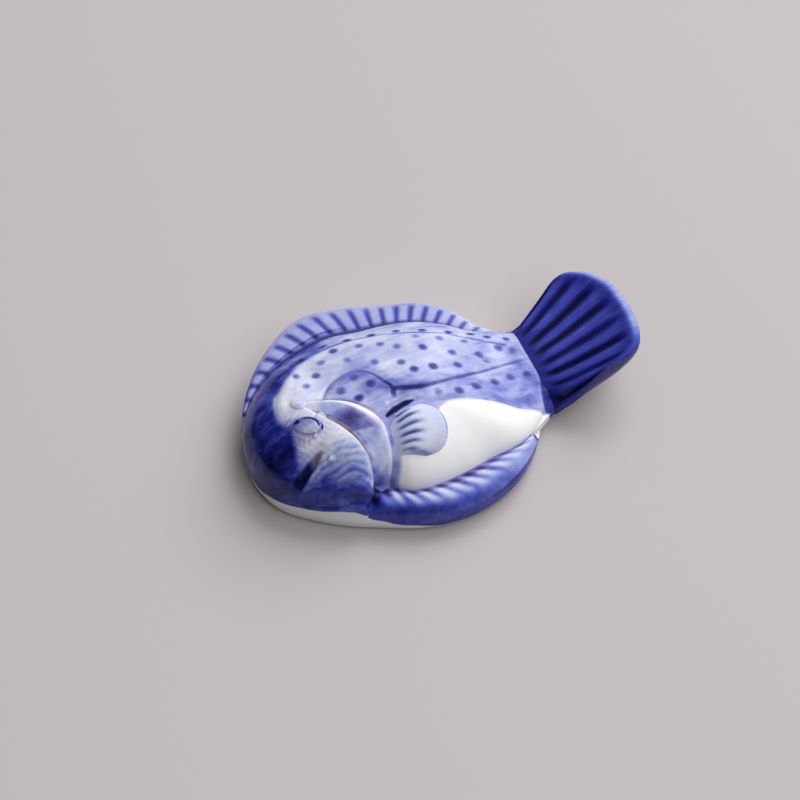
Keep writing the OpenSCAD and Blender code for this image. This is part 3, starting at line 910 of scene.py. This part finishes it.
BACK_FIN_SECTION = [(0, 1), (0.3, 1.04), (0.65, 1.02), (0.9, 0.93), (1, 0.74)]
BELLY_FIN_SECTION = [(0, 1), (0.25, 1.2), (0.5, 1.26), (0.75, 1.12), (0.93, 0.78), (1, 0.42)]
FIN_STEPS, SECTION_STEPS, WALL_ROWS = 620, 44, 14


def build_edge_fin(name, ends, section, paint):
    """A band on the seam from the groove to the rim, its section over the fin, down the wall and back."""
    t = np.linspace(ends[1], ends[0], FIN_STEPS)
    w, h = curve(section, SECTION_STEPS).T
    w = np.concatenate([w, np.ones(WALL_ROWS)])
    h = np.concatenate([h, h[-1] * np.linspace(1, 0, WALL_ROWS + 1)[1:]])
    way = np.linspace(0, 1, FIN_STEPS)
    close = 0.35 * smooth(0, 0.06, way) * smooth(1, 0.94, way) + 0.65
    rows = []
    for at, end in zip(t, close):
        line = plan(at, mix(groove(at), 1, w))
        rows.append((line, SEAM_H + (edge_h(at) - SEAM_H) * h * mix(1, end, w), SEAM_H))
    points, faces = slab(rows)
    angle = np.mod(polar(points)[0], 360)
    reach = np.tile(np.concatenate([w, w[::-1]]), FIN_STEPS)
    top = np.tile(np.repeat([1.0, 0.0], [SECTION_STEPS, 2 * WALL_ROWS + SECTION_STEPS]), FIN_STEPS)
    cobalt, violet = paint(angle, reach, points[:, 2])
    across = (angle - ends[0]) / (ends[1] - ends[0])
    return solid(name, points, faces, cobalt, violet, across=across, reach=reach,
                 rayed=top * (1 - 0.5 * smooth(285, 315, angle)))


def back_fin_paint(t, w, z):
    cobalt = 0.34 - 0.14 * smooth(0.8, 1, w) * smooth(130, 105, t) - 0.12 * smooth(60, 30, t)
    cobalt = cobalt + 0.46 * smooth(122, 158, t) * smooth(0.45, 0.9, w)
    cobalt = layered(cobalt, 0.84, ink(w, 0.16, 0.1) * smooth(22, 40, t))
    cobalt = layered(cobalt, 0.62, ink(np.abs(w - 0.17), 0.05, 0.03) * smooth(90, 105, t))
    ahead = smooth(120, 158, t)
    low = mix(2.15, 1.95, ahead) + 0.1 * np.sin(np.radians(t) * 17) * np.sin(np.radians(t) * 5)
    cobalt = cobalt * smooth(low, low + mix(0.5, 0.15, ahead), z) + 0.02
    return cobalt, 0.35 + 0.35 * ink(w, 0.3, 0.1)


def belly_fin_paint(t, w, z):
    right = smooth(268, 308, t)
    cobalt = 0.56 - 0.31 * smooth(0.14, 0.34, w) + 0.14 * smooth(0.45, 0.75, w) - 0.08 * right
    outer = smooth(0.62, 0.88, w) * (1 - 0.8 * right) + 0.8 * smooth(0.94, 0.99, w) * right
    cobalt = mix(cobalt, 0.69, np.clip(outer, 0, 1))
    cobalt = layered(cobalt, 0.75, 0.9 * smooth(246, 236, t))
    cobalt = layered(cobalt, 0.84, ink(np.abs(t - 321.5), 3.2, 1.0) * smooth(0.35, 0.6, w))
    cobalt = mix(BARE, cobalt, blue_above(t, z, 0.6 * smooth(244, 235, t)))
    return cobalt, 0.1 + 0.7 * smooth(0.5, 0.3, w)


def fan_marks(v, u):
    """Way out from the root, way across and the upper side, at each point of a fan made by slab."""
    reach = np.repeat(u, 2 * len(v))
    across = np.tile(np.concatenate([v, v[::-1]]), len(u))
    return reach, across, np.tile(np.repeat([1.0, 0.0], len(v)), len(u))


TAIL_ROUND = 2.3


def build_tail(count=250, steps=110):
    """The fan: a thick leaf from the waist up to its raised edge, rounded off along its sides and end."""
    edge = curve([(WAIST_X + TAIL_LEN * x, WAIST_LOW[1] + TAIL_W * y) for x, y in TAIL_EDGE], count)
    v = np.linspace(0, 1, count)
    root = mix(WAIST_LOW, WAIST_HIGH, v[:, None])
    root_z = body_z(root - (0.02, 0))
    u_steps = closing_steps(steps, 0.7)
    beyond = lengths(edge - root)
    rows = []
    for u in u_steps:
        crest = mix(root_z, TAIL_H, u ** 1.25)
        thick = mix(root_z - SEAM_H, TAIL_T, math.sin(math.pi / 2 * min(1, u / 0.45)))
        line = mix(root, edge, u)
        from_side = np.minimum(v, 1 - v) * np.linalg.norm(line[0] - line[-1])
        inside = (np.maximum((1 - u) * beyond, 1e-3) ** -3 + np.maximum(from_side, 1e-3) ** -3) ** (-1 / 3)
        rounded = 0.48 * thick * fall(inside, TAIL_ROUND) * min(1, u / 0.2)
        rows.append((line, crest - rounded, crest - thick + rounded))
    points, faces = slab(rows)
    reach, across, top = fan_marks(v, u_steps)
    cobalt = 0.66 + 0.14 * smooth(0.24, 0, reach) + 0.1 * smooth(0.2, 0.05, across)
    cobalt = mix(cobalt, 0.76, 0.8 * smooth(0.72, 0.86, reach))
    # painted highlight: paler paint in a band along the upper part of the fan's end
    painted_tail_highlight = smooth(0.88, 0.95, reach) * smooth(0.15, 0.4, across) * smooth(0.97, 0.8, across)
    cobalt = mix(cobalt, 0.34, 0.85 * painted_tail_highlight)
    cobalt = layered(cobalt, 0.74, smooth(0.985, 0.998, reach))
    cobalt = mix(cobalt, 0.86, 1 - top)
    strength = (0.85 + 0.15 * np.sin(across * 21 + 1)) * smooth(1, 0.93, across)
    return solid("tail", points, faces, cobalt, 0.04, across=across, reach=reach,
                 rayed=top * strength * smooth(0, 0.03, np.minimum(across, 1 - across)))


def build_gill():
    """The crescent between the cheek and the body, low beside the cheek and rising to its own rim."""
    u = np.linspace(0, 1, len(gill_root))
    w = closing_steps(46, 0.6)
    span = gill_root - gill_edge
    under = gill_root + span / np.maximum(lengths(span), 0.5)[:, None] * 0.6
    fade = smooth(-0.02, 0.3, u) * smooth(1.0, 0.86, u)
    rows = []
    for k in w:
        line = mix(under, gill_edge, k)
        ridge = mix(0.2, 1.05, smooth(0.1, 0.85, k)) * dome(k, 12)
        z = body_z(line)
        sunk = 0.12 + 0.7 * smooth(0.93, 1, u)
        rows.append((line, z - sunk + ridge * fade, z - 1.3))
    points, faces = slab(rows)
    reach, way, _ = fan_marks(u, w)
    broken = smooth(-1.2, 1.2, np.sin(way * 61) + 0.8 * np.sin(way * 37 + 1))
    slant = way - 0.1 * reach
    cobalt = 0.17 + 0.15 * smooth(0.12, 0.3, way)
    shadow = smooth(0.28, 0.44, slant) * smooth(0.61, 0.57, slant) * smooth(0.82, 0.6, reach)
    cobalt = mix(cobalt, 0.62, shadow)
    violet = 0.2 + 0.7 * smooth(0.26, 0.4, slant) * smooth(0.63, 0.57, slant)
    # painted highlight: near white along the upper part of the raised rim
    painted_gill_highlight = smooth(0.74, 0.86, reach) * smooth(0.02, 0.12, way) * smooth(0.68, 0.55, way)
    cobalt = mix(cobalt, 0.04, painted_gill_highlight)
    cobalt = mix(cobalt, 0.2, 0.8 * smooth(0.8, 0.9, reach) * smooth(0.55, 0.7, way))
    cobalt = layered(cobalt, 0.55, ink(1 - reach, 0.05, 0.03) * smooth(0.6, 0.7, way))
    iron = ink(np.abs(reach - 0.17), 0.12, 0.06) * smooth(0.1, 0.22, way) * (0.45 + 0.35 * broken)
    dark = ink(np.abs(reach - 0.1), 0.08, 0.04) + 0.5 * ink(np.abs(reach - 0.25), 0.04, 0.03) * broken
    cobalt = layered(cobalt, 0.95, np.clip(dark, 0, 1) * smooth(0.15, 0.3, way))
    cobalt = mix(cobalt, 0.58, smooth(0.89, 0.97, way))
    return solid("gill", points, faces, cobalt, violet, iron, furrow=0.0)


def build_side_fin(count=150, steps=110):
    """The small round fin, flat on the belly at its root and standing off it at its rim."""
    root = curve(side_fin_root, count)
    rim = curve(side_fin_rim, count)
    v = np.linspace(0, 1, count)
    u_steps = closing_steps(steps, 0.6)
    rows = []
    for u in u_steps:
        line = mix(root, rim, u)
        base = body_z(line)
        near_rim = np.maximum(u, np.abs(2 * v - 1))
        swell = 0.25 * np.sin(np.pi * u) * np.sin(np.pi * v)
        rise = mix(0.05, 0.9, smooth(0, 0.5, u)) * dome(near_rim, 7) + swell
        rows.append((line, base - 0.02 + rise, base - 0.4))
    points, faces = slab(rows)
    reach, across, top = fan_marks(v, u_steps)
    cobalt = 0.16 + 0.12 * smooth(0.3, 0, reach) + 0.05 * smooth(0.7, 0.9, reach)
    cobalt = layered(cobalt, 0.62, ink(np.abs(reach - 0.985), 0.03, 0.02) * smooth(0.3, 0.7, across))
    cobalt = layered(cobalt, 0.42, ink(np.abs(across - 0.04), 0.08, 0.05) * smooth(0.2, 0.5, reach))
    strength = np.interp(across * 6, range(7), [0.6, 0.7, 1.0, 1.0, 0.9, 1.1, 1.2])
    return solid("side_fin", points, faces, cobalt, 0.2, across=across, reach=reach,
                 rayed=top * strength * smooth(0.02, 0.07, np.minimum(across, 1 - across)))


EYE_TURN = math.radians(-50)
EYE_ROOT = (1.0, 0.6, 0.2)


def build_eye(name, shares, length, width, rise, paint):
    """An oval laid on the head: rise gives its height at a share of the way out and an angle round it."""
    centre = place(shares)
    angle = np.linspace(0, 2 * np.pi, EYE_POINTS, endpoint=False)
    x = np.cos(angle) * length / 2
    y = np.sin(angle) * width / 2
    oval = np.stack([x * math.cos(EYE_TURN) - y * math.sin(EYE_TURN),
                     x * math.sin(EYE_TURN) + y * math.cos(EYE_TURN)], 1)
    rows = [over(q, head_z(q) + rise(f, angle)) for q, f in ((centre + oval * f, f) for f in EYE_RINGS)]
    rows += [over(q, head_z(q) - 0.4) for q in (centre + oval * f for f in EYE_ROOT)]
    points, faces = skin(rows)
    share = np.concatenate([np.repeat([*EYE_RINGS, 1, 1, 1], EYE_POINTS), [0, 1]])
    around_it = np.concatenate([np.tile(angle, len(rows)), [0, 0]])
    cobalt, violet = paint(points[:, :2], share, around_it)
    return solid(name, points, faces, cobalt, violet, furrow=0.0)


def lower_eye_rise(f, a):
    """A ball under a rounded lid, which is highest on the side of the back."""
    lid = 0.24 * bell(f - 0.84, 0.1) * (0.5 + 0.5 * np.sin(a))
    return 0.72 * dome(f, 2.2) + lid - 0.16 * bell(f - 0.68, 0.07) * smooth(-0.2, 0.5, np.sin(a)) - 0.05


def upper_eye_rise(f, a):
    """Nearly flat, and the same all round."""
    return 0.3 * (1 - f ** 2) ** 1.5 + 0.04 * bell(f - 0.6, 0.1) - 0.03


def lower_eye_paint(p, share, a):
    x, y = share * np.cos(a), share * np.sin(a)
    cloud = 0.05 * np.sin(x * 9 + 3 * y) * np.sin(y * 8)
    cobalt = 0.46 - 0.26 * smooth(-0.5, 0.6, x * 0.8 - y * 0.7) + cloud
    lid = smooth(-0.25, 0.15, y)
    # painted highlight: a pale arc inside the upper lid
    cobalt = mix(cobalt, 0.24, 0.8 * smooth(0.74, 0.8, share) * lid * smooth(-0.6, -0.2, x))
    cobalt = layered(cobalt, 0.98, ink(np.abs(share - 0.93), 0.13, 0.05) * lid)
    under_lid = smooth(0, 0.3, y) * smooth(-0.5, -0.1, x)
    cobalt = layered(cobalt, 0.96, ink(np.abs(share - 0.68), 0.1, 0.04) * under_lid)
    cobalt = layered(cobalt, 0.98, ink(np.hypot(x + 0.86, y - 0.05), 0.5, 0.15))
    cobalt = layered(cobalt, 0.55, 0.6 * ink(np.abs(share - 0.9), 0.1, 0.05) * (1 - lid))
    return cobalt, 0.12


def upper_eye_paint(p, share, a):
    cobalt, violet, _ = body_paint(p)
    faint = ink(np.abs(share - 0.78), 0.12, 0.08) + 0.7 * ink(np.abs(share - 0.42), 0.1, 0.06)
    return cobalt + 0.1 * faint * smooth(1, 0.9, share), mix(violet, 0.8, 0.7 * faint)


rays = ray_tree()

foot = build_foot(painted_glaze("white glaze", streaks=0.0, mottle=0.0), bare_clay("bare porcelain"))
finish_piece(foot, "foot_half")

back = build_back(painted_glaze("back wash glaze", brush=(150, 480, 200), streaks=0.9, mottle=0.7))
finish_piece(back, "back_shell")

head_glaze = painted_glaze("head cobalt glaze", brush=(260, 520, 420), streaks=1.0, mottle=0.7)
head = build_head(head_glaze)
finish_piece(head, "head_shell")

back_fin = build_edge_fin("back_fin", BACK_FIN, BACK_FIN_SECTION, back_fin_paint)
press_rays(back_fin, rays, painted_glaze("back fin glaze", furrow_ink=0.34, combed=100, streaks=0.3),
           Rays=22, Depth=0.00012, Sharpness=2.6, Start=0.03, Start_Fade=0.1, End=0.86, End_Fade=0.26)
finish_piece(back_fin, "back_fin")

belly_fin = build_edge_fin("belly_fin", BELLY_FIN, BELLY_FIN_SECTION, belly_fin_paint)
press_rays(belly_fin, rays, painted_glaze("belly fin glaze", furrow_ink=0.36, streaks=0.9, mottle=0.4),
           Rays=12, Depth=0.00008, Slant=-1.5, Sharpness=1.1, Start=0.02, Start_Fade=0.08, End=0.86,
           End_Fade=0.5)
finish_piece(belly_fin, "belly_fin")

tail = build_tail()
press_rays(tail, rays, painted_glaze("tail cobalt glaze", furrow_ink=0.4, combed=36, streaks=0.32),
           Rays=8, Depth=0.00036, Sharpness=2.0, Start=0.0, Start_Fade=0.16, End=0.9, End_Fade=0.2)
finish_piece(tail, "tail_fin")

gill = build_gill()
gill.data.materials.append(painted_glaze("gill glaze", brush=(500, 500, 500), streaks=0.7, mottle=0.7))
finish_piece(gill, "gill_cover")

side_fin = build_side_fin()
press_rays(side_fin, rays, painted_glaze("side fin glaze", furrow_ink=0.42, combed=30),
           Rays=6, Depth=0.0002, Sharpness=1.7, Start=0.06, Start_Fade=0.16, End=0.68, End_Fade=0.3)
finish_piece(side_fin, "side_fin")

lower_eye = build_eye("lower_eye", (-0.663, -0.103), 5.1, 2.9, lower_eye_rise, lower_eye_paint)
lower_eye.data.materials.append(painted_glaze("lower eye glaze", streaks=0.1, mottle=0.12))
finish_piece(lower_eye, "lower_eye")

upper_eye = build_eye("upper_eye", (-0.641, 0.126), 3.4, 2.4, upper_eye_rise, upper_eye_paint)
upper_eye.data.materials.append(head_glaze)
finish_piece(upper_eye, "upper_eye")


# Floor, lights and camera

def floor_finish():
    material = bpy.data.materials.new("pale floor")
    material.use_nodes = True
    shader = material.node_tree.nodes["Principled BSDF"]
    shader.inputs["Base Color"].default_value = colour(185, 179, 180)
    shader.inputs["Roughness"].default_value = 0.85
    shader.inputs["Specular IOR Level"].default_value = 0.2
    return material


FLOOR_HALF = 2.0
floor_mesh = bpy.data.meshes.new("floor")
corners = [(x * FLOOR_HALF, y * FLOOR_HALF, 0) for x, y in ((-1, -1), (1, -1), (1, 1), (-1, 1))]
floor_mesh.from_pydata(corners, [], [(0, 1, 2, 3)])
floor_mesh.materials.append(floor_finish())
floor = to_scene(bpy.data.objects.new("floor", floor_mesh))


def softbox(name, place_at, size, power, mirrored=True):
    """A square area lamp that looks at the middle of the floor."""
    lamp = bpy.data.lights.new(name, "AREA")
    lamp.size = size
    lamp.energy = power
    lamp_object = to_scene(bpy.data.objects.new(name, lamp))
    lamp_object.location = place_at
    lamp_object.rotation_euler = (-Vector(place_at)).to_track_quat("-Z", "Y").to_euler()
    lamp_object.visible_glossy = mirrored


softbox("window light", (0.78, 0.38, 0.92), 1.0, 15.3, mirrored=False)
softbox("room light", (0.2, -0.6, 1.0), 0.9, 6.5, mirrored=False)
softbox("lamp accent", (0.45, 0.35, 0.85), 0.035, 0.12)


WINDOW_WAY = (0.68, 0.36, 0.64)


def studio_room():
    """World light: dim all round, with a wide soft glow from the window side."""
    world = bpy.data.worlds.new("studio room")
    world.use_nodes = True
    world.node_tree.nodes.clear()
    add = nodes_of(world.node_tree)
    way = add("ShaderNodeTexCoord").outputs["Generated"]
    toward = add("ShaderNodeVectorMath", {0: way, 1: WINDOW_WAY}, operation="DOT_PRODUCT")
    glow = add("ShaderNodeMapRange", {"Value": toward.outputs["Value"], "From Min": 0.3, "From Max": 1.0,
                                      "To Min": 0.05, "To Max": 0.55}, interpolation_type="SMOOTHSTEP")
    light = add("ShaderNodeBackground", {"Color": (0.97, 0.98, 1.0, 1.0), "Strength": glow.outputs["Result"]})
    backdrop = add("ShaderNodeBackground", {"Color": colour(200, 196, 196), "Strength": 1.0})
    seen = add("ShaderNodeLightPath").outputs["Is Camera Ray"]
    mixed = add("ShaderNodeMixShader", {0: seen, 1: light.outputs[0], 2: backdrop.outputs[0]})
    add("ShaderNodeOutputWorld", {0: mixed.outputs[0]})
    return world


bpy.context.scene.world = studio_room()
bpy.context.scene.view_settings.view_transform = "Standard"

camera_data = bpy.data.cameras.new("camera")
camera_data.lens = CAMERA_LENS
camera_data.sensor_width = CAMERA_SENSOR
camera_data.shift_x, camera_data.shift_y = CAMERA_SHIFT
camera_data.clip_start = 0.01
camera = to_scene(bpy.data.objects.new("camera", camera_data))
camera.location = camera_place * MM
camera.rotation_euler = Vector(-camera_back).to_track_quat("-Z", "Y").to_euler()
bpy.context.scene.camera = camera
